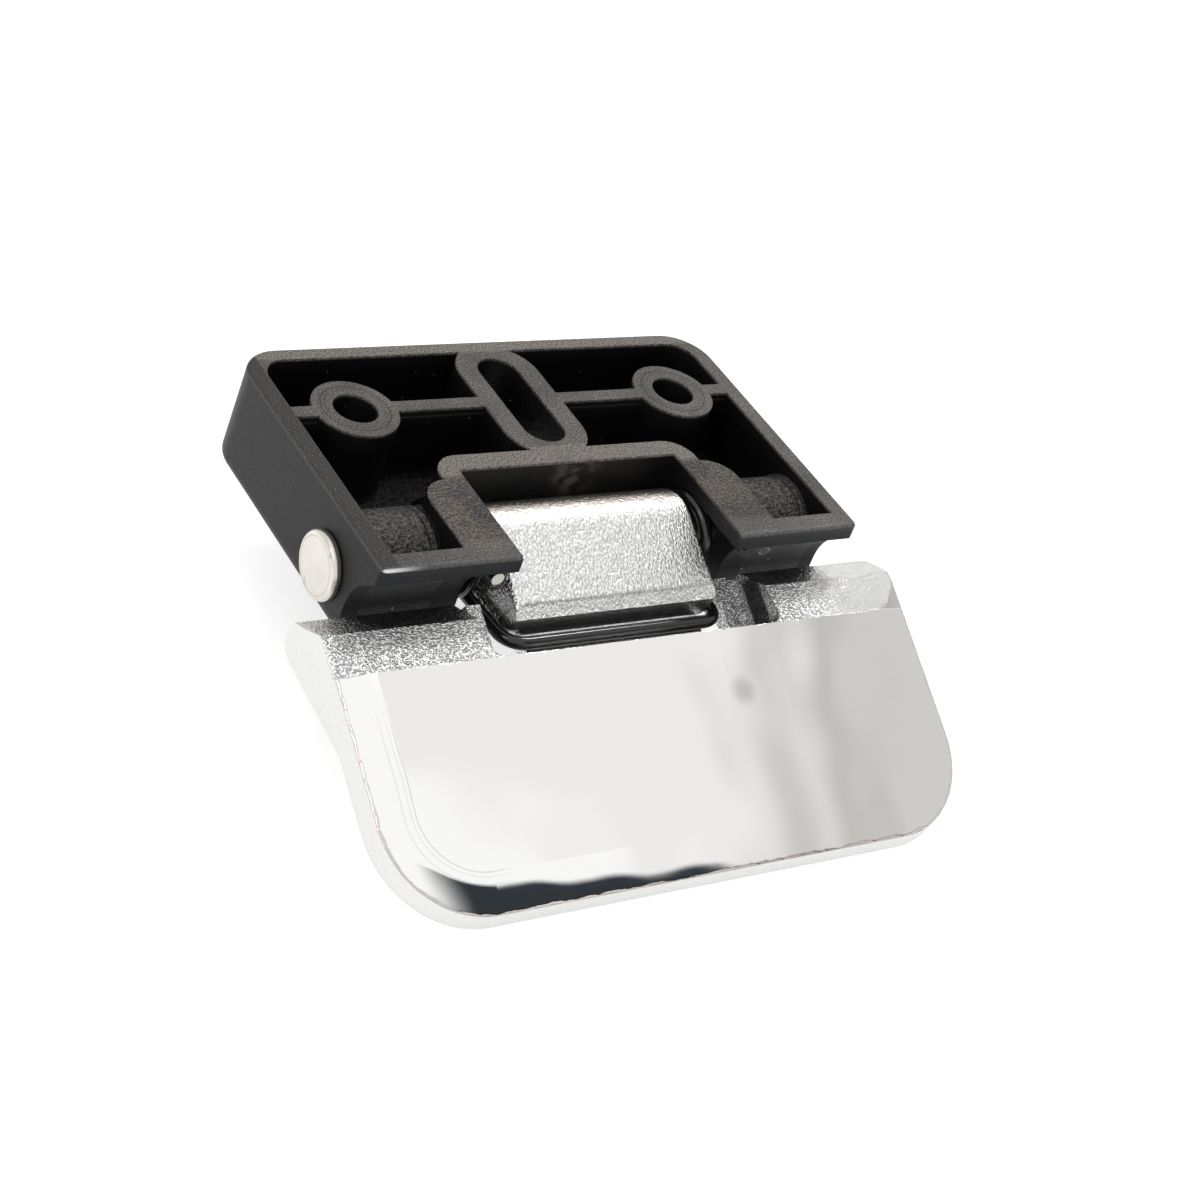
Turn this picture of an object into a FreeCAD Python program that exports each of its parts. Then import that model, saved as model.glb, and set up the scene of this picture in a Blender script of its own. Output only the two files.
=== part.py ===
"""Paddle latch: a ribbed moulded block, a headed hinge pin, a double torsion spring and a polished cast paddle.

Millimetres. X runs along the hinge pin and Y points from the paddle to the back of the block. Z = 0 is the ribbed
mounting face, and +Z points out of it. The origin lies on that face, midway between the two screw holes.
"""
import FreeCAD, Part
import math
import os

from FreeCAD import Placement, Rotation, Vector

# Block: outline
block_width = 91.4          # at the mounting face
wall_splay = 0.3            # how far the side and back walls lean out by the bottom
block_height = 18.0
back_edge = 16.5            # screw line to the outer back edge
lip_reach = 38.6            # screw line to the front edge of the lip
back_corner_radius = 7.5
front_corner_radius = 1.1
bottom_round = 2.4
rim_round = 0.6
side_wall = 3.3
back_wall = 2.9
front_wall = 2.7
floor_thickness = 4.0
pocket_corner_radius = 4.6

# Block: lip and the cove under it
lip_front = 2.8             # height of the lip's front edge
lip_land = 3.6              # face width between the lip's front edge and the pockets
cove_radius = 9.0
cove_depth = 12.0           # face to the centre of the cove's arc
lip_under_run = 1.7         # width of the slope behind the lip's lower edge
foot_inset = 6.2            # lip's front edge to the front wall under the cove

# Block: bosses, slot and ribs
screw_spacing = 62.7
screw_hole_radius = 3.75
screw_boss_radius = 7.3
slot_radius = 3.85
slot_length = 23.0
slot_offset = 0.0           # screw line to the middle of the slot
slot_boss_wall = 3.8
rib_width = 2.6
rib_foot_width = 3.3
rib_foot_drop = 1.2         # face to the wider foot of each rib

# Hinge pin
pin_radius = 3.9
pin_setback = 24.5          # screw line to the pin's axis
pin_drop = 10.3             # face to the pin's axis
pin_head_radius = 5.6
pin_head_height = 1.4
pin_head_round = 0.9
pin_tip_chamfer = 0.7
pin_blind_depth = 37.4      # centre to the pin's hidden end

# Cut-out for the knuckle, lugs and pin tunnels
cutout_half_width = 21.1
u_wall = 3.6
u_side_wall = 3.8
u_corner_radius = 4.7
lug_half_width = 29.9
lug_shoulder_radius = 5.0
lug_setback = 18.9          # screw line to the back of the lugs
coil_housing_wall = 1.7
tunnel_wall = 4.0

# Torsion spring
wire_radius = 1.1
wire_bend_swell = 0.03      # extra radius where the wire turns sharply into and out of a coil
coil_radius = 6.1           # to the middle of the wire
coil_pitch = 2.3
coil_turns = 1              # whole turns of each coil, before the part turn that leads into the leg
bail_corner_radius = 3.6
leg_tip_reach = 38.2        # screw line to the tip of each leg

# Paddle: measured along the polished face from its top edge, and square to it
paddle_tilt = 27.0          # degrees that the face falls away from the mounting face
paddle_half_width = 55.4
paddle_length = 39.0
paddle_corner_radius = 16.4
pin_to_face_edge = 21.3     # pin's axis to the face's top edge, along the face
pin_to_face = 10.45         # pin's axis to the plane of the face
crown_width = 6.2           # width of the rounded-off border of the face
crown_fall = 1.35           # how far that border falls by its outer edge
crown_radius = 22.0
crown_inset = 0.75          # border's outer edge to the widest outline
side_splay_drop = 4.4       # face to the height where the sides reach the widest outline
skin = 2.8
edge_thickness = 5.0
back_depth = 12.0
taper_start = 7.5           # face's top edge to where the deep back starts, towards the pin
taper_end = 10.5            # face's top edge to where the thin half starts, towards the free end
band_length = 7.0
band_drop = 1.75
shoulder_length = 4.3       # length and drop of the facet behind the band
shoulder_drop = 5.0
back_round = 3.2
paddle_wall = 3.0
paddle_rib = 2.4

# Paddle: knuckle and notch
knuckle_half_width = 19.4
knuckle_radius = 7.3
knuckle_nose = 8.8          # face's top edge to the end of the knuckle's flat top
nose_bevel_length = 2.0
nose_bevel_drop = 1.35
nose_foot = 5.5             # face's top edge to the foot of the nose
nose_corner_round = 1.8
knuckle_edge_round = 0.9
notch_half_width = 28.0
notch_corner_radius = 2.4
notch_floor_drop = 7.65     # face to the floor that the bail presses on
leg_slot_width = 3.4
leg_slot_start = 2.2        # face's top edge to the end of each open slot
step_width = 2.6
step_drop = 1.5
bail_setback = 3.7          # face's top edge to the bail's wire

# Clearances
pin_clearance = 0.05
pocket_clearance = 0.2
spring_gap = 0.05
through = 60.0
overrun = 1.0               # how far a cutter runs past the face it opens
tolerance = 1e-6

lip_y = -lip_reach
pin_y = -pin_setback
pin_z = -pin_drop
cove_centre_y = lip_y + foot_inset - cove_radius
rib_front_y = lip_y + lip_land / 2
hollow_floor_z = -block_height + floor_thickness
rib_foot_z = hollow_floor_z - floor_thickness / 2
coil_outer_radius = coil_radius + wire_radius
coil_pocket_radius = coil_outer_radius + pocket_clearance
coil_start = knuckle_half_width + pocket_clearance + wire_radius
cutout_back = pin_y + max(coil_pocket_radius, knuckle_radius + pocket_clearance) + pocket_clearance
plate_drop = pin_drop - coil_pocket_radius


def box(x0, x1, y0, y1, z0, z1):
    """A box between two corners."""
    return Part.makeBox(x1 - x0, y1 - y0, z1 - z0, Vector(x0, y0, z0))


def both_sides(shape):
    """A shape and its mirror image across the middle plane."""
    return [shape, shape.mirror(Vector(0, 0, 0), Vector(1, 0, 0))]


def rod(x0, x1, radius, y=pin_y, z=pin_z):
    """A cylinder along X."""
    return Part.makeCylinder(radius, x1 - x0, Vector(x0, y, z), Vector(1, 0, 0))


def extrude_x(edges, x0, x1):
    """A closed side profile in the YZ plane, drawn out along X."""
    face = Part.Face(Part.Wire(edges))
    face.translate(Vector(x0, 0, 0))
    return face.extrude(Vector(x1 - x0, 0, 0))


def rounded_rect(x0, x1, y0, y1, z0, z1, back_radius, front_radius):
    """A box with its four upright edges rounded, the back pair and the front pair apart."""
    solid = box(x0, x1, y0, y1, z0, z1)
    for y, radius in ((y1, back_radius), (y0, front_radius)):
        if radius > 0:
            edges = [e for e in solid.Edges if is_upright(e) and abs(e.Vertexes[0].Y - y) < tolerance]
            solid = solid.makeFillet(radius, edges)
    return solid


def is_upright(edge):
    """True for a straight edge that runs along Z."""
    ends = edge.Vertexes
    if len(ends) < 2:
        return False
    return abs(ends[0].X - ends[1].X) < tolerance and abs(ends[0].Y - ends[1].Y) < tolerance


def arc(centre, radius, start_deg, end_deg):
    """An arc in the YZ plane, whose angles run from +Y towards +Z."""
    def at(deg):
        a = math.radians(deg)
        return Vector(0, centre[0] + radius * math.cos(a), centre[1] + radius * math.sin(a))
    return Part.Arc(at(start_deg), at((start_deg + end_deg) / 2), at(end_deg)).toShape()


def line(a, b):
    """A straight edge between two points."""
    return Part.LineSegment(a, b).toShape()


def cove_profile(wall, front, meet_y, bottom_z, back_y):
    """Side profile of the block, or of its hollow where a wall sets it off inwards from the cove.

    The front lists Y and Z from the mounting face down to the slope that meets the cove's arc at meet_y.
    """
    radius = cove_radius + wall
    foot = cove_centre_y + radius
    meet_angle = math.acos((meet_y - cove_centre_y) / radius)
    meet = (meet_y, -cove_depth + radius * math.sin(meet_angle))
    points = [Vector(0, y, z) for y, z in [(foot, bottom_z), (back_y, bottom_z), (back_y, 0)] + front + [meet]]
    edges = [line(a, b) for a, b in zip(points, points[1:])]
    edges.append(arc((cove_centre_y, -cove_depth), radius, math.degrees(meet_angle), 0.0))
    edges.append(line(Vector(0, foot, -cove_depth), points[0]))
    return edges


def block_outside():
    """The block's outer form: plan outline, lip, cove and rounded edges."""
    half = block_width / 2
    plan = splayed_plan(half)
    lip = [(lip_y, 0), (lip_y, -lip_front)]
    side = extrude_x(cove_profile(0.0, lip, lip_y + lip_under_run, -block_height, back_edge + wall_splay),
                     -half - wall_splay, half + wall_splay)
    body = plan.common(side)
    body = body.makeFillet(bottom_round, level_edges(body, -block_height))
    return body.makeFillet(rim_round, level_edges(body, 0))


def splayed_plan(half):
    """The block's outline, drawn down with its side and back walls leaning out, and its corners rounded."""
    outlines = []
    for z, splay in ((0, 0), (-block_height, wall_splay)):
        x = half + splay
        back = back_edge + splay
        corners = [Vector(-x, lip_y, z), Vector(x, lip_y, z), Vector(x, back, z), Vector(-x, back, z)]
        outlines.append(Part.makePolygon(corners + corners[:1]))
    solid = Part.makeLoft(outlines, True, True)
    for at_back, radius in ((True, back_corner_radius), (False, front_corner_radius)):
        edges = [e for e in solid.Edges if joins_levels(e) and (e.Vertexes[0].Y > 0) == at_back]
        solid = solid.makeFillet(radius, edges)
    return solid


def joins_levels(edge):
    """True for a straight edge between the mounting face and the bottom."""
    ends = edge.Vertexes
    return len(ends) == 2 and abs(abs(ends[0].Z - ends[1].Z) - block_height) < tolerance


def level_edges(shape, z):
    """The edges of a shape that lie at one height."""
    return [e for e in shape.Edges if all(abs(v.Z - z) < tolerance for v in e.Vertexes)]


def block_hollow():
    """The space inside the walls, down to the floor."""
    half = block_width / 2 - side_wall
    pocket_front = lip_y + lip_land
    back = back_edge - back_wall
    plan = rounded_rect(-half, half, pocket_front, back, hollow_floor_z, 0, pocket_corner_radius, 0)
    side = extrude_x(cove_profile(front_wall, [(pocket_front, 0)], pocket_front, hollow_floor_z, back), -half, half)
    return plan.common(side)


def stadium(radius, length, z0, z1):
    """A round-ended bar that stands upright, with its long way along Y."""
    straight = length / 2 - radius
    middle = slot_offset
    ends = [Part.makeCylinder(radius, z1 - z0, Vector(0, middle + side * straight, z0)) for side in (-1, 1)]
    bar = box(-radius, radius, middle - straight, middle + straight, z0, z1)
    return bar.fuse(ends).removeSplitter()


def block_ribs():
    """Bosses, cross ribs, U wall, lugs and pin tunnels, which fill part of the hollow."""
    low = rib_foot_z
    half = block_width / 2 - side_wall / 2
    pieces = []
    for side in (-1, 1):
        centre = Vector(side * screw_spacing / 2, 0, low)
        pieces.append(Part.makeCylinder(screw_boss_radius, -low, centre))
    slot_boss = slot_radius + slot_boss_wall
    pieces.append(stadium(slot_boss, slot_length + 2 * slot_boss_wall, low, 0))
    pieces.append(box(-half, half, -rib_width / 2, rib_width / 2, low, 0))
    pieces.append(box(-half, half, -rib_foot_width / 2, rib_foot_width / 2, low, -rib_foot_drop))
    u_half = cutout_half_width + u_side_wall
    u_back = cutout_back + u_wall
    pieces.append(rounded_rect(-u_half, u_half, rib_front_y, u_back, low, 0, u_corner_radius, 0))
    lugs = rounded_rect(-lug_half_width, lug_half_width, rib_front_y, -lug_setback, low, 0, lug_shoulder_radius, 0)
    pieces.append(lugs)
    housing_half = coil_pocket_half_width() + coil_housing_wall
    pieces += pin_tunnel(-housing_half, housing_half, coil_pocket_radius + coil_housing_wall)
    pieces += pin_tunnel(-half, half, pin_radius + tunnel_wall)
    return pieces[0].fuse(pieces[1:])


def pin_tunnel(x0, x1, radius):
    """A half-round hump over the pin's axis, with straight sides down to the floor."""
    return [rod(x0, x1, radius), box(x0, x1, pin_y - radius, pin_y + radius, rib_foot_z, pin_z)]


def coil_pocket_half_width():
    """Middle plane to the outer end of each coil's pocket."""
    return coil_end() + wire_radius + pocket_clearance


def cutout():
    """The opening for the knuckle, and the coil pockets that reach out under the lugs."""
    front = lip_y - overrun
    below = -block_height - overrun
    gap = box(-cutout_half_width, cutout_half_width, front, cutout_back, below, overrun)
    half = coil_pocket_half_width()
    pocket_back = pin_y + coil_pocket_radius
    lower = box(-half, half, front, pocket_back, below, pin_z)
    upper = box(-half, half, front, pin_y, below, -plate_drop)
    return gap.fuse([lower, upper, rod(-half, half, coil_pocket_radius)])


def mounting_block():
    """The ribbed moulding."""
    outside = block_outside()
    body = outside.cut(block_hollow().cut(block_ribs()))
    body = body.cut(cutout())
    holes = [Part.makeCylinder(screw_hole_radius, through, Vector(side * screw_spacing / 2, 0, -through / 2))
             for side in (-1, 1)]
    holes.append(stadium(slot_radius, slot_length, -through / 2, through / 2))
    holes.append(rod(-block_width, pin_blind_depth + pin_clearance, pin_radius + pin_clearance))
    return body.cut(holes).removeSplitter()


def hinge_pin():
    """The headed pin, turned about its axis."""
    face_x = -block_width / 2 - wall_splay - pin_clearance
    top_x = face_x - pin_head_height
    tip = pin_blind_depth
    outline = [Vector(face_x, 0, 0), Vector(top_x, 0, 0), Vector(top_x, pin_head_radius - pin_head_round, 0)]
    edges = [line(outline[0], outline[1]), line(outline[1], outline[2])]
    bend = math.sqrt(0.5)
    corner = Vector(top_x + pin_head_round, pin_head_radius - pin_head_round, 0)
    middle = corner + Vector(-bend * pin_head_round, bend * pin_head_round, 0)
    round_end = corner + Vector(0, pin_head_round, 0)
    edges.append(Part.Arc(outline[2], middle, round_end).toShape())
    rest = [round_end, Vector(face_x, pin_head_radius, 0), Vector(face_x, pin_radius, 0),
            Vector(tip - pin_tip_chamfer, pin_radius, 0), Vector(tip, pin_radius - pin_tip_chamfer, 0),
            Vector(tip, 0, 0), outline[0]]
    edges += [line(a, b) for a, b in zip(rest, rest[1:])]
    solid = Part.Face(Part.Wire(edges)).revolve(Vector(0, 0, 0), Vector(1, 0, 0), 360)
    solid.translate(Vector(0, pin_y, pin_z))
    return solid


def paddle_point(along, height, x=0.0):
    """A point given along the polished face and square to it, in the paddle's own level frame."""
    return Vector(x, -along, height)


def place_paddle(shape):
    """Tilts a shape from the paddle's own frame about the pin into the frame of the block."""
    shape.translate(Vector(0, -pin_to_face_edge, pin_to_face))
    shape.rotate(Vector(0, 0, 0), Vector(1, 0, 0), paddle_tilt)
    shape.translate(Vector(0, pin_y, pin_z))
    return shape


def profile_x(corners, x0, x1):
    """A closed polygon given along and square to the face, drawn out along X."""
    points = [paddle_point(a, h) for a, h in corners]
    points.append(points[0])
    return extrude_x([line(a, b) for a, b in zip(points, points[1:])], x0, x1)


def paddle_outside():
    """The paddle's outer form: side profile, plan outline and rounded edges."""
    half = paddle_half_width
    shoulder_along = -band_length - shoulder_length
    shoulder_height = -band_drop - shoulder_drop
    corners = [(0, 0), (paddle_length, 0), (paddle_length, -edge_thickness), (taper_end, -edge_thickness),
               (-taper_start, -back_depth), (shoulder_along, -back_depth), (shoulder_along, shoulder_height),
               (-band_length, -band_drop)]
    slab = profile_x(corners, -half, half)
    round_edges = [e for e in slab.Edges if runs_along_x(e, shoulder_along, -back_depth)]
    slab = slab.makeFillet(back_round, round_edges)
    plan = rounded_rect(-half, half, -paddle_length, -shoulder_along, -back_depth, overrun, 0, paddle_corner_radius)
    return slab.common(plan).cut(border_cutter(half, -shoulder_along + overrun))


def border_cutter(half, back):
    """What is taken off the slab all round its free outline: it leaves the crowned border and the splayed sides.

    Its section is given inwards from the outline and square to the face, and is carried along the outline.
    """
    slope = math.atan2(crown_fall, crown_width)
    spread = math.asin(math.hypot(crown_width, crown_fall) / 2 / crown_radius)
    centre_in = crown_inset + crown_width + crown_radius * math.sin(slope - spread)
    centre_up = -crown_radius * math.cos(slope - spread)

    def on_crown(lean):
        return (centre_in - crown_radius * math.sin(lean), centre_up + crown_radius * math.cos(lean))

    def at(point):
        return Vector(-half + point[0], back, point[1])

    inner = on_crown((slope - spread) / 2)
    outer = on_crown(slope + spread)
    fall = (side_splay_drop - crown_fall) / crown_inset
    low = (-overrun, -crown_fall - fall * (crown_inset + overrun))
    corners = [outer, low, (-overrun, overrun), (inner[0], overrun), inner]
    edges = [Part.Arc(at(inner), at(on_crown(slope)), at(outer)).toShape()]
    edges += [line(at(a), at(b)) for a, b in zip(corners, corners[1:])]
    return Part.Wire(free_outline(half, back)).makePipeShell([Part.Wire(edges)], True, False)


def free_outline(half, back):
    """The paddle's outline from one end of the band, round the free edge, to the other end."""
    r = paddle_corner_radius
    far = -paddle_length
    turn = r * (1 - math.sqrt(0.5))
    left = [Vector(-half, back, 0), Vector(-half, far + r, 0), Vector(-half + turn, far + turn, 0),
            Vector(-half + r, far, 0)]
    right = [Vector(-v.x, v.y, 0) for v in reversed(left)]
    return [line(left[0], left[1]), Part.Arc(left[1], left[2], left[3]).toShape(), line(left[3], right[0]),
            Part.Arc(right[0], right[1], right[2]).toShape(), line(right[2], right[3])]


def runs_along_x(edge, along, height):
    """True for an edge that lies on the line along X at this place of the paddle's own frame."""
    return all(abs(v.Y + along) < tolerance and abs(v.Z - height) < tolerance for v in edge.Vertexes)


def underside_height(along):
    """Height of the paddle's underside at a distance along the face."""
    slope = (back_depth - edge_thickness) / (taper_start + taper_end)
    return -edge_thickness - max(0.0, taper_end - along) * slope


def paddle_hollows():
    """The open hollows of the casting's underside, set off inwards from its outline."""
    half = paddle_half_width - paddle_wall
    back = -taper_start + paddle_wall / 2
    front = paddle_length - paddle_wall
    radius = paddle_corner_radius - paddle_wall
    low = -back_depth - overrun
    whole = rounded_rect(-half, half, -front, -back, low, -skin, 0, radius)
    inner = notch_half_width + paddle_rib
    middle = box(-inner, inner, -paddle_rib, -back + overrun, low, 0)
    near = inner - paddle_rib / 2
    far = inner + paddle_rib / 2
    ribs = both_sides(box(near, far, -front - overrun, -back + overrun, low, 0))
    return whole.cut([middle] + ribs)


def notch():
    """The notch in the band that clears the coils, with the slots for the spring's wire."""
    back = -band_length - shoulder_length - overrun
    low = -back_depth - overrun
    top = knuckle_radius + overrun
    floor_cut = rounded_rect(-notch_half_width, notch_half_width, 0, -back, -notch_floor_drop, top,
                             0, notch_corner_radius)
    slot_inner = coil_start - bail_corner_radius
    slot_outer = knuckle_half_width + leg_slot_width
    slots = both_sides(box(slot_inner, slot_outer, leg_slot_start, -back, low, top))
    outer = notch_half_width
    step_z = -notch_floor_drop - step_drop
    steps = both_sides(box(outer - step_width, outer, notch_corner_radius, -back, step_z, top))
    return floor_cut.fuse(slots + steps)


def knuckle():
    """The rough-cast knuckle: a barrel round the pin with a flat top and a bevelled nose."""
    axis = (-pin_to_face_edge, -pin_to_face)
    top = axis[1] + knuckle_radius
    bevel_end = -knuckle_nose + nose_bevel_length
    under = (-taper_start, -back_depth)
    reach = math.hypot(under[0] - axis[0], under[1] - axis[1])
    angle = math.atan2(under[1] - axis[1], under[0] - axis[0]) - math.acos(knuckle_radius / reach)
    tangent = (axis[0] + knuckle_radius * math.cos(angle), axis[1] + knuckle_radius * math.sin(angle))
    foot_height = -notch_floor_drop
    corners = [(axis[0], axis[1]), (axis[0], top), (-knuckle_nose, top), (bevel_end, top - nose_bevel_drop),
               (-nose_foot, foot_height), (-nose_foot, underside_height(-nose_foot)), under, tangent]
    half = knuckle_half_width
    arm = profile_x(corners, -half, half)
    plan = rounded_rect(-half, half, nose_foot, pin_to_face_edge + knuckle_radius, -back_depth - knuckle_radius, top,
                        0, nose_corner_round)
    body = arm.fuse(rod(-half, half, knuckle_radius, -axis[0], axis[1])).common(plan).removeSplitter()
    edges = [e for e in body.Edges if is_flat_top_side(e, top)]
    return body.makeFillet(knuckle_edge_round, edges)


def is_flat_top_side(edge, top):
    """True for the two edges that bound the knuckle's flat top at its ends."""
    at_end = all(abs(abs(v.X) - knuckle_half_width) < tolerance for v in edge.Vertexes)
    on_top = all(abs(v.Z - top) < tolerance for v in edge.Vertexes)
    return at_end and on_top and edge.Length > nose_corner_round


def paddle():
    """The casting: hollow shell, notch, knuckle and its bore for the pin."""
    body = paddle_outside().cut(paddle_hollows()).cut(notch())
    body = body.fuse(knuckle()).removeSplitter()
    bore = rod(-through, through, pin_radius + pin_clearance, pin_to_face_edge, -pin_to_face)
    return place_paddle(body.cut(bore))


def bail_centre():
    """Middle of the bail's wire where it presses on the floor of the notch, as Y and Z from the pin."""
    along = -bail_setback + pin_to_face_edge
    height = pin_to_face - notch_floor_drop + wire_radius + spring_gap
    tilt = math.radians(paddle_tilt)
    return (-along * math.cos(tilt) - height * math.sin(tilt), -along * math.sin(tilt) + height * math.cos(tilt))


def sweep(edges):
    """A round wire along joined edges."""
    start = edges[0].Vertexes[0].Point
    section = Part.Wire(Part.makeCircle(wire_radius, start, edges[0].tangentAt(edges[0].FirstParameter)))
    return Part.Wire(edges).makePipeShell([section], True, True)


def coil_start_angle():
    """Angle round the pin, from +Y towards +Z, where the wire from the bail runs onto the coil."""
    bail_y, bail_z = bail_centre()
    return math.atan2(bail_z, bail_y) + math.acos(coil_radius / math.hypot(bail_y, bail_z))


def coil_turned():
    """Angle that the wire turns round the pin before it leaves along the top as a leg."""
    return 2 * math.pi * coil_turns + (math.pi / 2 - coil_start_angle()) % (2 * math.pi)


def coil_end():
    """Middle plane to the middle of the coil's last turn, where the leg leaves it."""
    return coil_start + coil_pitch * coil_turned() / (2 * math.pi)


def coil_wire():
    """One coil of the spring round the pin."""
    helix = Part.makeHelix(coil_pitch, coil_end() - coil_start, coil_radius)
    section = Part.Wire(Part.makeCircle(wire_radius, Vector(coil_radius, 0, 0), Vector(0, 1, 0)))
    coil = helix.makePipeShell([section], True, True)
    axes = Rotation(Vector(0, 1, 0), Vector(0, 0, 1), Vector(1, 0, 0))
    turn = Rotation(Vector(1, 0, 0), math.degrees(coil_start_angle()))
    coil.Placement = Placement(Vector(coil_start, pin_y, pin_z), turn.multiply(axes))
    return coil


def torsion_spring():
    """The double torsion spring: a bail, two coils and two legs of one wire."""
    bail_y, bail_z = bail_centre()
    start = coil_start_angle()
    leaving = Vector(coil_start, pin_y + coil_radius * math.cos(start), pin_z + coil_radius * math.sin(start))
    corner = Vector(coil_start, pin_y + bail_y, pin_z + bail_z)
    back = (leaving - corner).normalize()
    inward = Vector(-1, 0, 0)
    along_bail = corner + inward * bail_corner_radius
    along_arm = corner + back * bail_corner_radius
    middle = corner + (inward + back) * (bail_corner_radius * (1 - math.sqrt(0.5)))
    bend = Part.Arc(along_bail, middle, along_arm).toShape()
    bail = sweep([line(Vector(0, corner.y, corner.z), along_bail), bend, line(along_arm, leaving)])
    top = Vector(coil_end(), pin_y, pin_z + coil_radius)
    leg = sweep([line(top, Vector(top.x, -leg_tip_reach, top.z))])
    joints = [Part.makeSphere(wire_radius + wire_bend_swell, point) for point in (leaving, top)]
    half = bail.fuse([coil_wire(), leg] + joints)
    return half.fuse(half.mirror(Vector(0, 0, 0), Vector(1, 0, 0))).removeSplitter()


def export(name, shape):
    """Writes one piece as a STEP file and prints its size."""
    os.makedirs("parts", exist_ok=True)
    solid = shape.Solids[0] if len(shape.Solids) == 1 else shape
    solid.exportStep("parts/" + name + ".step")
    bounds = solid.BoundBox
    print(f"{name}: solids {len(shape.Solids)}, valid {solid.isValid()}, volume {solid.Volume:.0f}, "
          f"x {bounds.XMin:.1f}..{bounds.XMax:.1f}, y {bounds.YMin:.1f}..{bounds.YMax:.1f}, "
          f"z {bounds.ZMin:.1f}..{bounds.ZMax:.1f}")


export("mounting_block", mounting_block())
export("hinge_pin", hinge_pin())
export("paddle", paddle())
export("torsion_spring", torsion_spring())
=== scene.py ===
"""Paddle latch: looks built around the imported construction. Metres, in the frame of the construction."""
import math

import bpy
import numpy as np
from mathutils import Matrix, Vector


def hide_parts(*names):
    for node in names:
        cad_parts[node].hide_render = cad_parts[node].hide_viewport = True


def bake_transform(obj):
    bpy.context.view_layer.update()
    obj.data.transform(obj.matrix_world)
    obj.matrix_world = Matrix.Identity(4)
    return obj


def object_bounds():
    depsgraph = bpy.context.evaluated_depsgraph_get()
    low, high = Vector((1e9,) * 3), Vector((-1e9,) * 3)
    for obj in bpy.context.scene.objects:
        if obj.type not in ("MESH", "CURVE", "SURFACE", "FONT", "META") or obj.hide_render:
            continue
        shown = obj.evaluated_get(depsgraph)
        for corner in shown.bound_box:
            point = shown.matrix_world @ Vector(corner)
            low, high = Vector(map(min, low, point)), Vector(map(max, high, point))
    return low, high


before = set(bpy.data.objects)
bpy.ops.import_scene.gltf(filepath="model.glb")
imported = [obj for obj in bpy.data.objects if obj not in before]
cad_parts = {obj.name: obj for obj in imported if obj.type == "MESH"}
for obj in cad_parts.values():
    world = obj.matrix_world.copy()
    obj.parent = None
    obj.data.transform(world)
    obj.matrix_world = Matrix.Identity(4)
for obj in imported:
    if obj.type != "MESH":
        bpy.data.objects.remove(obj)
construction_box = [list(corner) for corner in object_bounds()]


# Mounting block: one injection moulding in black glass-filled nylon, fine-grained outside, with deep smooth pockets.
# The lug plates and pin tunnels have a coarse leathery grain, with painted highlights on its tops and painted shade in
# its pits. The rims carry a painted grey-brown sheen, and painted highlights run along the top edge of the left side
# and along the front edge of the lip, brightest at its left end. The nib's ring carries a painted highlight.
def node_maker(tree):
    """A function that adds one shader node to a tree, with its inputs as numbers or sockets."""
    def node(kind, inputs=None, **settings):
        made = tree.nodes.new("ShaderNode" + kind)
        for key, value in settings.items():
            setattr(made, key, value)
        for key, value in (inputs or {}).items():
            if isinstance(value, bpy.types.NodeSocket):
                tree.links.new(value, made.inputs[key])
            else:
                made.inputs[key].default_value = value
        return made

    return node


def new_material(name):
    """A node material that holds one Principled shader; returns the material, a node maker and the shader."""
    material = bpy.data.materials.new(name)
    material.use_nodes = True
    return material, node_maker(material.node_tree), material.node_tree.nodes["Principled BSDF"]


def wire_up(holder, source, target):
    """Joins an output socket to an input socket in a material or world."""
    holder.node_tree.links.new(source, target)


def arithmetic(node, operation, a, b=0.0, c=0.0):
    """One step of arithmetic on sockets or numbers."""
    return node("Math", {0: a, 1: b, 2: c}, operation=operation).outputs[0]


def product(node, *factors):
    """All the factors multiplied together."""
    result = factors[0]
    for factor in factors[1:]:
        result = arithmetic(node, "MULTIPLY", result, factor)
    return result


def total(node, *terms):
    """All the terms added together."""
    result = terms[0]
    for term in terms[1:]:
        result = arithmetic(node, "ADD", result, term)
    return result


def less(node, value, taken):
    """The value with the second one taken from it."""
    return arithmetic(node, "SUBTRACT", value, taken)


def outside_of(node, share):
    """One less the share, so full where the share is zero."""
    return less(node, 1.0, share)


def hypotenuse(node, a, b):
    """The square root of a squared plus b squared."""
    squares = total(node, arithmetic(node, "POWER", a, 2.0), arithmetic(node, "POWER", b, 2.0))
    return arithmetic(node, "SQRT", squares)


def smooth_step(node, value, low, high):
    """Zero at low, one at high, and an even S between them."""
    made = node("MapRange", {"Value": value, "From Min": low, "From Max": high}, interpolation_type="SMOOTHSTEP")
    return made.outputs["Result"]


def where(node, *limits):
    """The product of one smooth step for each value, edge and blur: zero at edge - blur and one at edge + blur."""
    return product(node, *(smooth_step(node, value, edge - blur, edge + blur) for value, edge, blur in limits))


def line_at(node, value, centre, half_width):
    """One on a thin line where the value equals centre, fading to zero half_width away from it."""
    away = arithmetic(node, "ABSOLUTE", less(node, value, centre))
    return smooth_step(node, away, half_width, half_width * 0.3)


def blend_colours(node, share, a, b):
    """Colour a where share is zero, and colour b where it is one."""
    made = node("Mix", {"Factor": share}, data_type="RGBA")
    for key, value in ((6, a), (7, b)):
        if isinstance(value, bpy.types.NodeSocket):
            made.id_data.links.new(value, made.inputs[key])
        else:
            made.inputs[key].default_value = (*value, 1.0)
    return made.outputs[2]


def blend_values(node, share, a, b):
    """Number a where share is zero, and number b where it is one."""
    return node("Mix", {"Factor": share, 2: a, 3: b}, data_type="FLOAT").outputs[0]


def noise(node, vector, scale, detail=2.0, roughness=0.5):
    """Soft cloudy noise about 0.5, with the given number of lumps to the metre."""
    settings = {"Vector": vector, "Scale": scale, "Detail": detail, "Roughness": roughness}
    return node("TexNoise", settings).outputs["Fac"]


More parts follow.
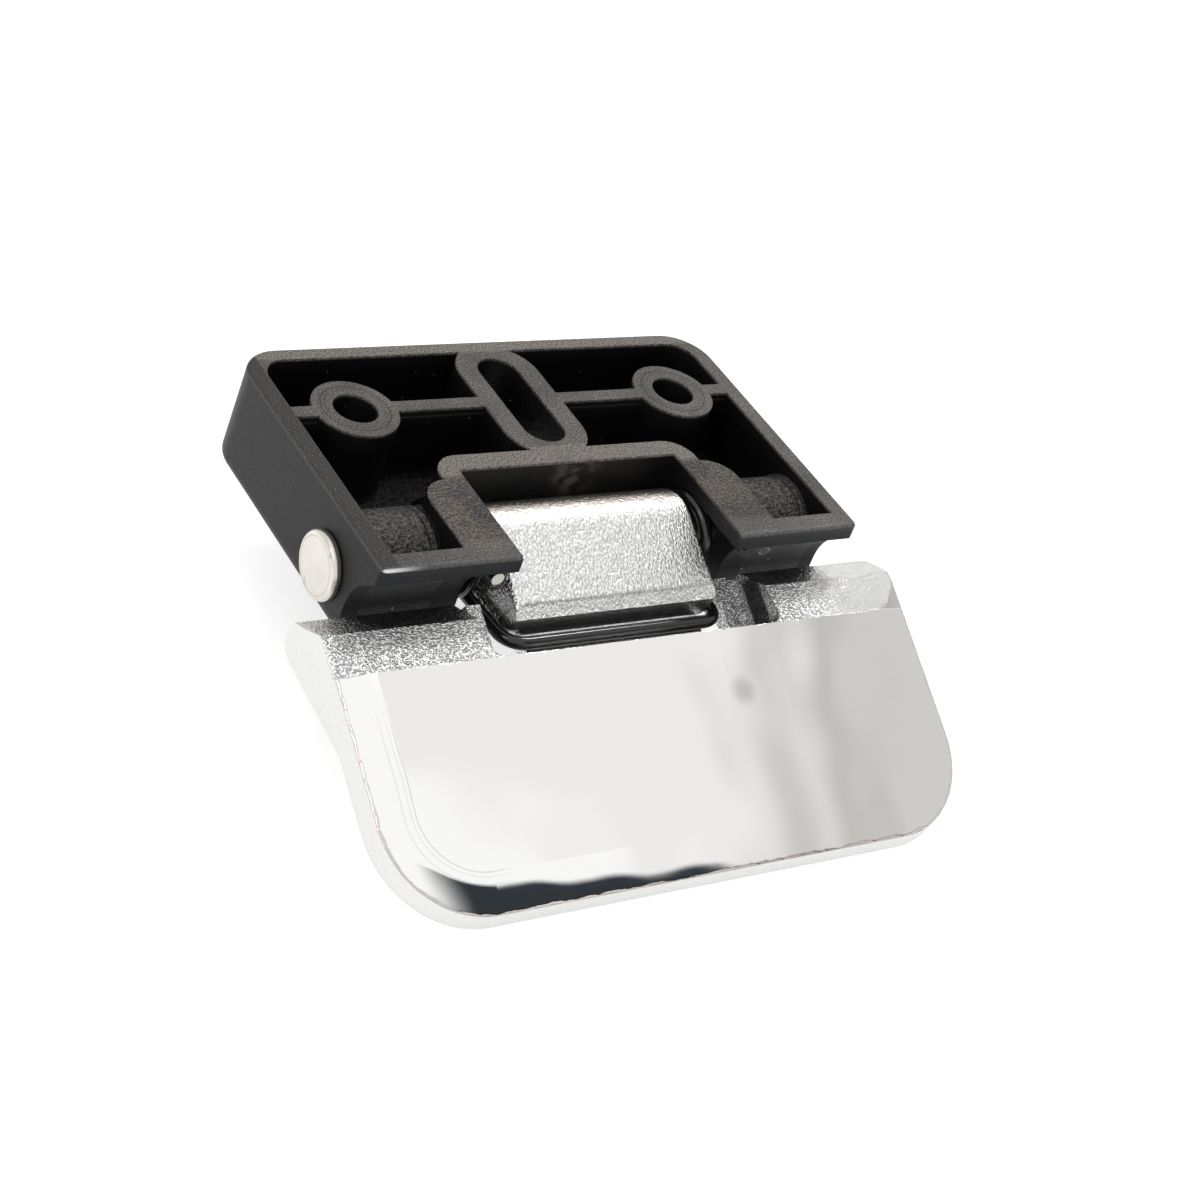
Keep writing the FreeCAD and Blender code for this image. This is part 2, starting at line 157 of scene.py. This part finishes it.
def distance_to(node, vector, point):
    """Distance from a point, worked out at each place of the surface."""
    return node("VectorMath", {0: vector, 1: point}, operation="DISTANCE").outputs["Value"]


def distance_from_pin(node, vector, across):
    """Distance from the pin's middle line: from the point of that line with the same X."""
    return distance_to(node, vector, node("CombineXYZ", {0: across, 1: pin_y, 2: pin_z}).outputs[0])


def bump_from(node, relief, **inputs):
    """The surface normal of a relief whose height is in metres."""
    return node("Bump", {"Height": relief, "Strength": 1.0, "Distance": 1.0, **inputs}).outputs[0]


def finish_node(name, material):
    """Gives a piece of the construction its finish."""
    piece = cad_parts[name]
    piece.data.materials.clear()
    piece.data.materials.append(material)
    return piece


pin_y, pin_z = -0.0245, -0.0103
screw_hole_x = 0.03135
outer_half_width, outer_back = 0.0441, 0.0153
pocket_half_width, pocket_back, pocket_floor_z = 0.0430, 0.0142, -0.0126
cross_wall_y = -0.0139
lug_outside_x = 0.0302
lug_plate_inside, lug_plate_outside = 0.0211, 0.0301
lug_plate_front, lug_plate_back = -0.0335, -0.0187
lip_inside_y, lip_face_y, lip_face_z = -0.0351, -0.03815, -0.0029
tunnel_radius, tunnel_half_width, tunnel_front = 0.0082, 0.0424, -0.0322
rim_z = -0.0004
shade_start, shade_end = -0.0008, -0.0045
wide_tool_ring, narrow_tool_ring = 0.0058, 0.0051
left_core_line, right_core_line = -0.0315, 0.0413
knit_line_x = 0.0009
nib_place = (0.0334, -0.0329, -0.0090)
nib_radius, nib_ring = 0.0010, 0.0009
smudge_place = (0.0017, -0.0168, -0.0022)
smudge_outside, smudge_inside = 0.0065, 0.0010

moulding, node, shader = new_material("black_nylon_moulding")
place = node("TexCoord").outputs["Object"]
axes = node("SeparateXYZ", {0: place})
across, back, height = (axes.outputs[key] for key in "XYZ")
from_middle = arithmetic(node, "ABSOLUTE", across)
from_axis = distance_from_pin(node, place, across)

rim = where(node, (height, rim_z, 0.0002))
beside_lugs = where(node, (from_middle, lug_outside_x, 0.0002), (back, lip_inside_y, 0.0002))
behind_wall = where(node, (back, cross_wall_y, 0.0003))
in_pocket = product(node, where(node, (from_middle, pocket_half_width, -0.0004), (back, pocket_back, -0.0004)),
                    arithmetic(node, "MAXIMUM", beside_lugs, behind_wall))
tunnel = product(node, in_pocket, beside_lugs,
                 where(node, (from_axis, tunnel_radius, -0.0002), (from_middle, tunnel_half_width, -0.0002),
                       (back, tunnel_front, 0.0002)))
deep = product(node, in_pocket, smooth_step(node, height, shade_start, shade_end), outside_of(node, tunnel))
lug_plate = product(node, rim, where(node, (from_middle, lug_plate_inside, 0.0003),
                                     (from_middle, lug_plate_outside, -0.0003),
                                     (back, lug_plate_back, -0.0005), (back, lug_plate_front, 0.0015)))
leathery = arithmetic(node, "MAXIMUM", tunnel, lug_plate)
outer_walls = arithmetic(node, "MAXIMUM", where(node, (from_middle, outer_half_width, 0.0003)),
                         where(node, (back, outer_back, 0.0003)))
left_wall = where(node, (across, -0.0424, -0.0004))
lip_face = where(node, (back, lip_face_y, -0.00025), (height, lip_face_z, 0.0003))
lip_edge = where(node, (back, -0.0377, -0.0003), (height, -0.0012, 0.0004))
pocket_floor = product(node, in_pocket, where(node, (height, pocket_floor_z, -0.0006)))
on_back_wall = where(node, (back, 0.0136, 0.0006))
on_u_wall = where(node, (back, -0.0182, 0.0004), (back, -0.0125, -0.0005), (from_middle, 0.0265, -0.0035))

fine = noise(node, place, 2900.0, 2.0, 0.6)
coarse = noise(node, place, 1800.0, 2.0, 0.55)
cloud = noise(node, place, 95.0, 3.0, 0.6)
drift = noise(node, place, 34.0, 1.0)

boss_radius = hypotenuse(node, less(node, from_middle, screw_hole_x), back)
tool_rings = product(node, total(node, line_at(node, boss_radius, wide_tool_ring, 0.0002),
                                 product(node, line_at(node, boss_radius, narrow_tool_ring, 0.00015), 0.5)),
                     where(node, (height, -0.00025, 0.00015)))
core_lines = product(node, tunnel, total(node, line_at(node, across, left_core_line, 0.00022),
                                         line_at(node, across, right_core_line, 0.00022)))
knit_line = product(node, line_at(node, across, knit_line_x, 0.00016),
                    where(node, (height, -0.0006, -0.0003), (back, -0.0162, -0.0002)), 0.5)
from_nib = distance_to(node, place, nib_place)
nib = where(node, (from_nib, nib_radius, -0.0002))
nib_edge = line_at(node, from_nib, nib_ring, 0.0003)

outside = blend_colours(node, cloud, (0.003, 0.0032, 0.0036), (0.007, 0.0073, 0.0078))
outside = blend_colours(node, arithmetic(node, "MAXIMUM", outer_walls, lip_face), (0.0030, 0.0032, 0.0036), outside)
floor_sheen = product(node, pocket_floor, smooth_step(node, fine, 0.4, 0.65))
outside = blend_colours(node, floor_sheen, outside, (0.055, 0.055, 0.056))
outside = blend_colours(node, tunnel, outside, (0.058, 0.056, 0.052))
outside = blend_colours(node, lip_face, outside, (0.012, 0.0135, 0.016))

# Painted sheen on the rims: lighter on the back wall and the U wall, darker along the left wall, with random cloudy
# tone.
rim_sheen_and_tone = total(node, product(node, arithmetic(node, "MAXIMUM", on_back_wall, on_u_wall), 0.85),
              product(node, less(node, cloud, 0.5), 1.6), product(node, drift, 0.62))
rim_colour = blend_colours(node, rim_sheen_and_tone, (0.07, 0.064, 0.058), (0.21, 0.189, 0.166))
rim_colour = blend_colours(node, left_wall, rim_colour, (0.028, 0.026, 0.024))
plate_colour = blend_colours(node, smooth_step(node, cloud, 0.42, 0.62), (0.028, 0.027, 0.025), (0.125, 0.1, 0.074))
rim_colour = blend_colours(node, lug_plate, rim_colour, plate_colour)
speckle = product(node, smooth_step(node, fine, 0.58, 0.40), 0.75)
rim_colour = blend_colours(node, speckle, rim_colour, (0.012, 0.012, 0.0125))
rim_colour = blend_colours(node, smooth_step(node, fine, 0.60, 0.78), rim_colour, (0.24, 0.225, 0.205))
colour = blend_colours(node, rim, outside, rim_colour)

# Painted highlights on the tops of the leathery grain, and painted shade in its pits.
grain_top_highlights = product(node, leathery, smooth_step(node, coarse, 0.52, 0.70), 0.75)
colour = blend_colours(node, grain_top_highlights, colour, (0.17, 0.163, 0.15))
grain_pit_shade = product(node, leathery, smooth_step(node, coarse, 0.47, 0.40), 0.7)
colour = blend_colours(node, grain_pit_shade, colour, (0.008, 0.008, 0.008))

# Painted highlight along the top edge of the left outer wall.
side_edge_highlight = product(node, line_at(node, height, -0.00030, 0.00032), where(node, (across, -0.0451, -0.0002)), 0.5)
colour = blend_colours(node, side_edge_highlight, colour, (0.1, 0.102, 0.106))
# Painted highlight along the front top edge of the lip: pale and brightest at the left end, bluish grey elsewhere.
towards_left = where(node, (across, -0.0409, -0.0039))
lip_edge_highlight = product(node, line_at(node, height, -0.00022, 0.00030), where(node, (back, -0.0381, -0.0002)),
                     blend_values(node, towards_left, 0.45, 1.0))
lip_highlight_colour = blend_colours(node, towards_left, (0.1, 0.105, 0.115), (0.75, 0.76, 0.78))
colour = blend_colours(node, lip_edge_highlight, colour, lip_highlight_colour)
smudge = product(node, smooth_step(node, distance_to(node, place, smudge_place), smudge_outside, smudge_inside),
                 smooth_step(node, noise(node, place, 420.0, 3.0), 0.42, 0.62), 0.8)
colour = blend_colours(node, smudge, colour, (0.075, 0.072, 0.068))
tool_marks = total(node, product(node, tool_rings, 0.6), product(node, core_lines, 0.8))
colour = blend_colours(node, tool_marks, colour, (0.012, 0.012, 0.012))
dust = product(node, deep, smooth_step(node, noise(node, place, 1500.0, 0.0), 0.885, 0.895))
colour = blend_colours(node, dust, colour, (0.7, 0.68, 0.64))
# Painted highlight on the nib's ring.
colour = blend_colours(node, product(node, nib_edge, 0.9), colour, (0.36, 0.355, 0.34))
wire_up(moulding, colour, shader.inputs["Base Color"])

roughness = blend_values(node, fine, 0.36, 0.52)
for share, value in ((rim, 0.5), (leathery, 0.27), (deep, 0.28), (lip_edge, 0.24), (nib, 0.12)):
    roughness = blend_values(node, share, roughness, value)
wire_up(moulding, roughness, shader.inputs["Roughness"])
shader.inputs["IOR"].default_value = 1.31
relief = total(node, product(node, fine, 0.00014), product(node, leathery, coarse, 0.0007),
               product(node, tool_rings, -0.00009), product(node, core_lines, -0.00018),
               product(node, knit_line, -0.00006), product(node, nib_edge, 0.00016))
rounded = node("Bevel", {"Radius": 0.00035}, samples=4).outputs[0]
wire_up(moulding, bump_from(node, relief, Normal=rounded), shader.inputs["Normal"])
finish_node("mounting_block", moulding)


# Hinge pin: a turned steel pin with a flat button head, nickel plated after tumbling. The plate is warm and
# slightly satin, with a thin dark ring where the head's flat ends and a few dents from the barrel.
head_flat_radius = 0.00462

plated, node, shader = new_material("nickel_plate")
place = node("TexCoord").outputs["Object"]
from_axis = distance_from_pin(node, place, node("SeparateXYZ", {0: place}).outputs["X"])
tumbled = noise(node, place, 900.0, 4.0, 0.6)
patches = noise(node, place, 260.0, 2.0)
plate_colour = blend_colours(node, patches, (0.6, 0.573, 0.53), (0.73, 0.7, 0.655))
head_ring = line_at(node, from_axis, head_flat_radius, 0.00022)
dents = smooth_step(node, noise(node, place, 620.0, 1.0), 0.66, 0.78)
stain = product(node, total(node, head_ring, dents), 0.3)
wire_up(plated, blend_colours(node, stain, plate_colour, (0.34, 0.27, 0.2)), shader.inputs["Base Color"])
shader.inputs["Metallic"].default_value = 1.0
wire_up(plated, blend_values(node, tumbled, 0.2, 0.38), shader.inputs["Roughness"])
relief = total(node, product(node, tumbled, 0.00002), product(node, dents, -0.00004),
               product(node, head_ring, -0.00003))
wire_up(plated, bump_from(node, relief), shader.inputs["Normal"])
finish_node("hinge_pin", plated)


# Paddle: one die casting. Its face and the crowned border round it are ground and polished to a mirror, with thin
# painted reflection lines along the border at the left and one shallow dimple. The band along the top and the knuckle
# stay as cast with a coarse bright grain, and the sides and underside are fine and matte.
paddle_tilt = math.radians(27.0)
face_top_edge = Vector((0.0, -0.0213, 0.01045))
polish_depth = 0.00130
polish_blur = 0.00008
paddle_half_width = 0.0547
knuckle_half_width = 0.0196
corner_middle_x, corner_middle_y = 0.0390, 0.0226
corner_radius = 0.0164
dimple_place = (0.01565, -0.01057, 0.0)
dimple_outside, dimple_inside = 0.0034, 0.0004
nose_start, foot_start = 0.0090, 0.0070
far_side_start, far_side_end = 0.0200, 0.0270
notch_half_width, knuckle_clearance_x = 0.0282, 0.0203
notch_top, notch_floor, notch_back = -0.0032, -0.0073, 0.0100

casting, node, shader = new_material("cast_and_polished_metal")
turn_level = Matrix.Rotation(-paddle_tilt, 3, "X")
shift = -(turn_level @ Vector((0.0, pin_y, pin_z))) - face_top_edge
place = node("TexCoord").outputs["Object"]
level = node("Mapping", {"Vector": place, "Location": shift, "Rotation": (-paddle_tilt, 0.0, 0.0)}).outputs[0]
axes = node("SeparateXYZ", {0: level})
across = axes.outputs["X"]
from_middle = arithmetic(node, "ABSOLUTE", across)
wander = product(node, less(node, noise(node, place, 420.0, 3.0), 0.5), 0.0006)
towards_pin = total(node, axes.outputs["Y"], wander)
above_face = total(node, axes.outputs["Z"], product(node, wander, 0.5))

on_face = where(node, (towards_pin, 0.0, -polish_blur))
polished = product(node, on_face, where(node, (above_face, -polish_depth, polish_blur)))
polish_edge = product(node, on_face, line_at(node, above_face, -polish_depth, 0.00016))
as_cast = product(node, outside_of(node, on_face), where(node, (from_middle, paddle_half_width, -0.0002)))
on_knuckle = product(node, as_cast, where(node, (from_middle, knuckle_half_width, -0.0002)))
# The knuckle's nose bevel is painted lighter and the crease above it carries a painted shade line; the foot below takes
# a slightly dimmer grain instead of the notch's painted shade.
nose = product(node, on_knuckle, smooth_step(node, towards_pin, nose_start, nose_start - 0.0003))
foot = product(node, on_knuckle, smooth_step(node, towards_pin, foot_start, foot_start - 0.0003))
crease = product(node, on_knuckle, line_at(node, towards_pin, nose_start, 0.0004))
# Painted warm light on the far side of the knuckle's barrel.
far_side = product(node, on_knuckle, smooth_step(node, towards_pin, far_side_start, far_side_end))
# Painted shade in the notch round the knuckle, from under the band down to the floor.
in_notch = product(node, as_cast, where(node, (from_middle, notch_half_width, -0.0002),
                                        (from_middle, knuckle_clearance_x, 0.0003),
                                        (above_face, notch_top, -0.0004), (above_face, notch_floor, 0.0002),
                                        (towards_pin, notch_back, -0.0010)))
off_right_end = where(node, (across, 0.0360, -0.0040))
# Painted shade at the band's right end.
at_right_end = where(node, (across, 0.0375, 0.0045))

drawn_out = node("Mapping", {"Vector": place, "Scale": (0.7, 1.0, 1.0)}).outputs[0]
band_grain = noise(node, drawn_out, 3100.0, 2.0, 0.5)
upright = node("Mapping", {"Vector": place, "Scale": (1.0, 0.62, 0.62)}).outputs[0]
knuckle_grain = noise(node, upright, 2900.0, 2.0, 0.5)
grain = blend_values(node, on_knuckle, band_grain, knuckle_grain)
fine = noise(node, place, 3600.0, 2.0)

cast_colour = blend_colours(node, smooth_step(node, grain, 0.35, 0.65), (0.62, 0.62, 0.615), (0.95, 0.95, 0.94))
# Painted dark reflections of the block on the band's grain: strong on the left, faint at the right end.
band_dark_reflections = product(node, smooth_step(node, band_grain, 0.60, 0.42), blend_values(node, off_right_end, 0.05, 0.75),
                 outside_of(node, on_knuckle))
notch_shade_colour = blend_colours(node, smooth_step(node, grain, 0.45, 0.65), (0.03, 0.031, 0.033), (0.14, 0.14, 0.14))
foot_colour = blend_colours(node, smooth_step(node, grain, 0.45, 0.62), (0.55, 0.55, 0.55), (0.88, 0.88, 0.87))
for share, tone in ((band_dark_reflections, (0.22, 0.223, 0.228)), (product(node, far_side, 0.8), (0.72, 0.64, 0.56)),
                    (in_notch, notch_shade_colour), (product(node, nose, 0.55), (0.93, 0.93, 0.92)),
                    (product(node, crease, 0.3), (0.3, 0.3, 0.3)), (foot, foot_colour),
                    (product(node, at_right_end, 0.9), (0.52, 0.52, 0.51))):
    cast_colour = blend_colours(node, share, cast_colour, tone)

beyond_side = less(node, from_middle, corner_middle_x)
beyond_end = less(node, product(node, axes.outputs["Y"], -1.0), corner_middle_y)
corner_reach = hypotenuse(node, arithmetic(node, "MAXIMUM", beyond_side, 0.0),
                          arithmetic(node, "MAXIMUM", beyond_end, 0.0))
straight_reach = arithmetic(node, "MINIMUM", arithmetic(node, "MAXIMUM", beyond_side, beyond_end), 0.0)
from_border = less(node, corner_radius, total(node, corner_reach, straight_reach))
from_border = total(node, from_border, product(node, less(node, noise(node, place, 70.0, 1.0), 0.5), 0.0010))
# Painted reflection lines: thin bluish-dark lines along the crowned border at the left and lower part.
border_reflection_lines = total(node, *(product(node, line_at(node, from_border, inset, half_width), share)
                       for inset, half_width, share in ((0.0069, 0.00016, 1.0), (0.0062, 0.0001, 0.8),
                                                        (0.0051, 0.00013, 0.7))))
border_reflection_lines = product(node, border_reflection_lines, where(node, (across, -0.0370, -0.0030), (axes.outputs["Y"], -0.0075, -0.0045)))
dimple = smooth_step(node, distance_to(node, level, dimple_place), dimple_outside, dimple_inside)

# The dimple is painted darker as well as sunk: a painted shade of its reflection.
mirror_colour = blend_colours(node, product(node, dimple, 0.5), (0.88, 0.875, 0.87), (0.42, 0.4, 0.375))
mirror_colour = blend_colours(node, product(node, border_reflection_lines, 0.45), mirror_colour, (0.4, 0.43, 0.47))
matte_colour = blend_colours(node, fine, (0.64, 0.64, 0.632), (0.83, 0.83, 0.82))
colour = blend_colours(node, as_cast, matte_colour, cast_colour)
colour = blend_colours(node, polished, colour, mirror_colour)
colour = blend_colours(node, product(node, polish_edge, 0.6), colour, (0.36, 0.29, 0.24))
wire_up(casting, colour, shader.inputs["Base Color"])
shader.inputs["Metallic"].default_value = 1.0

stretched = node("Mapping", {"Vector": level, "Scale": (0.12, 1.0, 1.0)}).outputs[0]
rubbing = noise(node, stretched, 2600.0, 2.0)
marks = node("Mapping", {"Vector": level, "Scale": (1.0, 0.06, 1.0)}).outputs[0]
scratches = product(node, smooth_step(node, noise(node, marks, 1500.0, 0.0), 0.8, 0.86),
                    smooth_step(node, noise(node, place, 60.0, 1.0), 0.5, 0.6))
mirror_roughness = total(node, product(node, rubbing, 0.05), product(node, scratches, 0.2), 0.01)
roughness = blend_values(node, polished, blend_values(node, as_cast, 0.5, 0.24), mirror_roughness)
wire_up(casting, roughness, shader.inputs["Roughness"])

waviness = total(node, product(node, noise(node, level, 42.0, 1.0), 0.0003), product(node, rubbing, 0.0000006),
                 product(node, dimple, -0.000006))
knuckle_relief = product(node, knuckle_grain, blend_values(node, nose, 0.00021, 0.00010))
cast_relief = blend_values(node, on_knuckle, product(node, band_grain, 0.00029), knuckle_relief)
relief = blend_values(node, as_cast, product(node, fine, 0.00004), cast_relief)
wire_up(casting, bump_from(node, blend_values(node, polished, relief, waviness)), shader.inputs["Normal"])
finish_node("paddle", casting)


# Torsion spring: one length of black oiled spring wire. The bail presses on the floor of the paddle's notch, a coil
# turns round the pin on each side, and the two legs bear under the plates of the block. The left leg shows the
# bright end where the wire was cut.
wire_radius = 0.0011
wire_sides = 20
bail_steps, bend_steps, arm_steps, coil_steps, leg_steps = 12, 14, 12, 150, 10
coil_radius = 0.0061
coil_pitch = 0.0023
coil_start = 0.0207
leg_tip = -0.0382
bail_bend = 0.0036
bail_place = np.array([-0.017472, -0.004471])
pin_place = np.array([pin_y, pin_z])


def half_wire(side):
    """Middle line of one piece of the spring, with a unit normal at each point, and the X where its coil ends.

    From the middle plane the bail runs along X, turns through a quarter circle towards the pin, runs straight as an
    arm onto the coil, follows a helix round the pin (angle and X grow together) and leaves it at the top as the leg,
    towards -Y. The normal is square to the line and to X on the straight runs, and points away from the pin on the
    helix. The left piece has the whole bail as well, up to the right arm, where the right piece starts.
    """
    reach = np.hypot(*bail_place)
    first = np.arctan2(bail_place[1], bail_place[0]) + np.arccos(coil_radius / reach)
    last = first + 2 * np.pi + (np.pi / 2 - first) % (2 * np.pi)
    coil_end = coil_start + coil_pitch * (last - first) / (2 * np.pi)
    outward = np.array([np.cos(first), np.sin(first)])
    meet = coil_radius * outward
    run = (meet - bail_place) / np.linalg.norm(meet - bail_place)

    straight = np.linspace(0.0, coil_start - bail_bend, bail_steps)
    bail = np.column_stack([straight, np.tile(bail_place, (len(straight), 1))])
    turn = np.linspace(0.0, np.pi / 2, bend_steps)[1:]
    bend = np.column_stack([coil_start - bail_bend + bail_bend * np.sin(turn),
                            bail_place + np.outer(bail_bend * (1 - np.cos(turn)), run)])
    share = np.linspace(0.0, 1.0, arm_steps)[1:]
    arm_start = bail_place + bail_bend * run
    arm = np.column_stack([np.full(len(share), coil_start), arm_start + np.outer(share, meet - arm_start)])
    angle = np.linspace(first, last, coil_steps)[1:]
    helix_x = coil_start + (coil_end - coil_start) * (angle - first) / (last - first)
    helix = np.column_stack([helix_x, coil_radius * np.cos(angle), coil_radius * np.sin(angle)])
    share = np.linspace(0.0, 1.0, leg_steps)[1:]
    leg = np.column_stack([np.full(len(share), coil_end), share * (leg_tip - pin_y),
                           np.full(len(share), coil_radius)])

    points = np.vstack([bail, bend, arm, helix, leg])
    normals = np.zeros_like(points)
    normals[:, 1:] = outward
    before_helix = len(bail) + len(bend) + len(arm)
    on_helix = slice(before_helix, before_helix + len(helix))
    normals[on_helix, 1] = np.cos(angle)
    normals[on_helix, 2] = np.sin(angle)
    normals[on_helix.stop:, 1:] = (0.0, 1.0)
    points[:, 1:] += pin_place
    arm_foot = len(bail) + len(bend) - 1
    if side > 0:
        return points[arm_foot:], normals[arm_foot:], coil_end
    other_side = slice(arm_foot, 0, -1)
    points = np.vstack([points[other_side] * (-1, 1, 1), points])
    return points * (side, 1, 1), np.vstack([normals[other_side], normals]), coil_end


def wire_surface(points, normals):
    """A round tube along a line: each ring is centre + radius * (cos(a) * normal + sin(a) * tangent x normal)."""
    along = np.gradient(points, axis=0)
    along /= np.linalg.norm(along, axis=1, keepdims=True)
    normals = normals - along * np.sum(along * normals, axis=1, keepdims=True)
    normals /= np.linalg.norm(normals, axis=1, keepdims=True)
    sideways = np.cross(along, normals)
    a = np.linspace(0.0, 2 * np.pi, wire_sides, endpoint=False)
    ring = np.cos(a)[None, :, None] * normals[:, None] + np.sin(a)[None, :, None] * sideways[:, None]
    grid = points[:, None] + wire_radius * ring
    rows = np.arange(len(points) - 1)[:, None] * wire_sides
    here = np.arange(wire_sides)
    beside = (here + 1) % wire_sides
    quads = np.stack([rows + here, rows + beside, rows + wire_sides + beside, rows + wire_sides + here], axis=-1)
    return grid.reshape(-1, 3), quads.reshape(-1, 4)


def add_half_spring(name, side, material):
    """One piece of the spring as a closed tube, shown in place of the construction's spring."""
    points, normals, coil_end = half_wire(side)
    vertices, quads = wire_surface(points, normals)
    last_ring = len(vertices) - wire_sides
    start_cap = list(range(wire_sides))[::-1]
    end_cap = list(range(last_ring, len(vertices)))
    mesh = bpy.data.meshes.new(name)
    mesh.from_pydata(vertices.tolist(), [], quads.tolist() + [start_cap, end_cap])
    mesh.polygons.foreach_set("use_smooth", [True] * len(quads) + [False, False])
    ends = np.empty(len(mesh.edges) * 2, dtype=np.int32)
    mesh.edges.foreach_get("vertices", ends)
    ends = ends.reshape(-1, 2)
    round_cap = (ends.max(axis=1) < wire_sides) | (ends.min(axis=1) >= last_ring)
    mesh.edges.foreach_set("use_edge_sharp", round_cap)
    mesh.materials.append(material)
    piece = bpy.data.objects.new(name, mesh)
    bpy.context.scene.collection.objects.link(piece)
    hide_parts("torsion_spring")
    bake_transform(piece)
    return piece


wire, node, shader = new_material("oiled_spring_wire")
place = node("TexCoord").outputs["Object"]
drawn = noise(node, place, 700.0, 3.0)
axes = node("SeparateXYZ", {0: place})
cut_end = where(node, (axes.outputs["Y"], leg_tip + 0.00004, -0.00002), (axes.outputs["Z"], -0.0058, 0.0002),
                (axes.outputs["X"], 0.0, -0.001))
wire_colour = blend_colours(node, drawn, (0.004, 0.004, 0.0045), (0.011, 0.0105, 0.01))
wire_up(wire, blend_colours(node, cut_end, wire_colour, (0.8, 0.77, 0.72)), shader.inputs["Base Color"])
wire_up(wire, blend_values(node, cut_end, blend_values(node, drawn, 0.1, 0.22), 0.4), shader.inputs["Roughness"])
shader.inputs["IOR"].default_value = 1.55
wire_up(wire, bump_from(node, product(node, drawn, 0.00001)), shader.inputs["Normal"])
add_half_spring("spring_half_left", -1, wire)
add_half_spring("spring_half_right", 1, wire)


# Studio: a pale floor just under the object and a soft tent all round it, brightest over the left and low in front,
# dimmer on the right, and open in front of the lower border, which mirrors the dark gap.
floor_drop = 0.0003
floor_reach = 3.0
floor_light = 0.62


def add_stage(name, corners, material):
    """A flat four-cornered sheet that belongs to the studio."""
    mesh = bpy.data.meshes.new(name)
    mesh.from_pydata(corners, [], [tuple(range(len(corners)))])
    sheet = bpy.data.objects.new(name, mesh)
    bpy.context.scene.collection.objects.link(sheet)
    mesh.materials.append(material)
    return sheet


floor_material, node, shader = new_material("pale_floor")
shader.inputs["Base Color"].default_value = (0.62, 0.62, 0.62, 1.0)
shader.inputs["Roughness"].default_value = 0.8
rays = node("LightPath")
seen = arithmetic(node, "MAXIMUM", rays.outputs["Is Camera Ray"], rays.outputs["Is Glossy Ray"])
shader.inputs["Emission Color"].default_value = (1.0, 1.0, 1.0, 1.0)
wire_up(floor_material, product(node, seen, floor_light), shader.inputs["Emission Strength"])
floor_z = construction_box[0][2] - floor_drop
floor_corners = [(x * floor_reach, y * floor_reach, floor_z) for x, y in ((-1, -1), (1, -1), (1, 1), (-1, 1))]
add_stage("floor", floor_corners, floor_material)

world = bpy.data.worlds.new("studio")
bpy.context.scene.world = world
world.use_nodes = True
node = node_maker(world.node_tree)
heading = node("SeparateXYZ", {0: node("TexCoord").outputs["Generated"]})
right, away, up = (heading.outputs[key] for key in "XYZ")
in_front = where(node, (total(node, away, product(node, right, -0.6)), -0.363, -0.045))
dim_side = product(node, where(node, (right, 0.62, 0.02)), in_front)
far_right = product(node, where(node, (right, 0.651, 0.009)), in_front)
overhead = where(node, (right, 0.365, -0.065), (up, 0.79, 0.07))
low_light = where(node, (total(node, away, product(node, right, 1.2)), 0.445, -0.04), (away, -0.175, -0.025),
                  (right, 0.575, -0.015))
tent = (0.95, 0.945, 0.935)
for share, light in ((dim_side, (0.6, 0.592, 0.575)), (far_right, (0.69, 0.68, 0.665)),
                     (overhead, (1.2, 1.2, 1.2)), (low_light, (1.07, 1.07, 1.065))):
    tent = blend_colours(node, share, tent, light)
lit = where(node, (arithmetic(node, "MULTIPLY_ADD", away, 0.57, right), 0.24, 0.018))
for gap_edge in ((right, 0.21, -0.19), (away, -0.48, 0.02), (up, 0.225, -0.075)):
    lit = arithmetic(node, "MAXIMUM", lit, where(node, gap_edge))
around = node("Background", {"Color": blend_colours(node, lit, (0.035, 0.042, 0.05), tent), "Strength": 1.0})
backdrop = node("Background", {"Color": (1.0, 1.0, 1.0, 1.0), "Strength": 1.0})
camera_sees = node("LightPath").outputs["Is Camera Ray"]
choose = node("MixShader", {0: camera_sees, 1: around.outputs[0], 2: backdrop.outputs[0]})
wire_up(world, choose.outputs[0], world.node_tree.nodes["World Output"].inputs["Surface"])


def add_lamp(name, place, target, size, power):
    """A square soft lamp that faces a point."""
    data = bpy.data.lights.new(name, "AREA")
    data.size = size
    data.energy = power
    lamp = bpy.data.objects.new(name, data)
    lamp.location = place
    lamp.rotation_mode = "QUATERNION"
    lamp.rotation_quaternion = (Vector(target) - Vector(place)).to_track_quat("-Z", "Y")
    bpy.context.scene.collection.objects.link(lamp)
    return lamp


middle = (0.0, -0.03, -0.01)
add_lamp("lamp_left", (-0.7, -0.1, 0.55), middle, 0.3, 0.7)
add_lamp("lamp_back", (0.52, 0.42, 0.72), middle, 0.14, 1.9)

bpy.context.scene.view_settings.view_transform = "Standard"


# Camera: stands in front on the left, above the mounting face, where the photograph was taken, and looks down at
# the object along its own right, down and ahead directions.
camera_data = bpy.data.cameras.new("camera")
camera_data.sensor_width = 36.0
camera_data.lens = 74.633
camera_data.clip_start = 0.01
camera_data.clip_end = 20.0
camera = bpy.data.objects.new("camera", camera_data)
camera_place = (-0.2272, -0.27036, 0.21241)
camera_right = Vector((0.81522435, -0.48714432, 0.31320866))
camera_down = Vector((-0.09188325, -0.64275396, -0.76054244))
camera_ahead = Vector((0.57181004, 0.59123409, -0.56874909))
facing = Matrix((camera_right, -camera_down, -camera_ahead)).transposed()
camera.matrix_world = Matrix.Translation(camera_place) @ facing.to_4x4()
bpy.context.scene.collection.objects.link(camera)
bpy.context.scene.camera = camera
